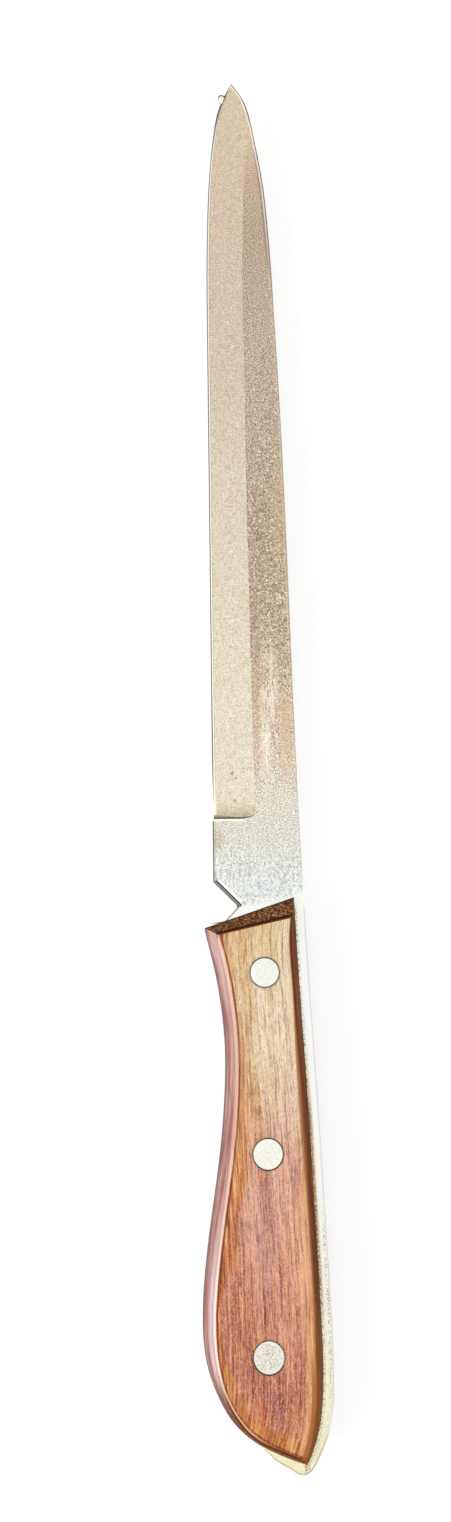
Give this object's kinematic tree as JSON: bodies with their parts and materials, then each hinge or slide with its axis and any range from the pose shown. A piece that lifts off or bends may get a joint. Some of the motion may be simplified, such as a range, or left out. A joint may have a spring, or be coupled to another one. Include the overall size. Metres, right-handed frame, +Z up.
{
  "type": "carving knife",
  "caption": "Full-tang carving knife with a slim pointed blade, a finger notch and bevelled wooden handle scales held by flush compression rivets.",
  "frame": {"origin": "centre of the footprint, on the surface that the knife lies on", "axes": "+X from the cutting edge to the spine, +Y from the butt to the tip, +Z up through the flat of the knife"},
  "size_m": [0.0266, 0.3296, 0.0148],
  "materials": {
    "blade_steel": "ground and satin polished stainless steel with fine scratches and water spots",
    "handle_wood": "red-brown hardwood, sanded and lacquered",
    "rivet_metal": "ground flush, dull"
  },
  "bodies": {
    "root": {"blade_and_tang": "blade_steel", "upper_handle_scale": "handle_wood", "lower_handle_scale": "handle_wood", "front_rivet_sleeve": "rivet_metal", "front_rivet_stem": "rivet_metal", "middle_rivet_sleeve": "rivet_metal", "middle_rivet_stem": "rivet_metal", "rear_rivet_sleeve": "rivet_metal", "rear_rivet_stem": "rivet_metal"}
  },
  "joints": []
}
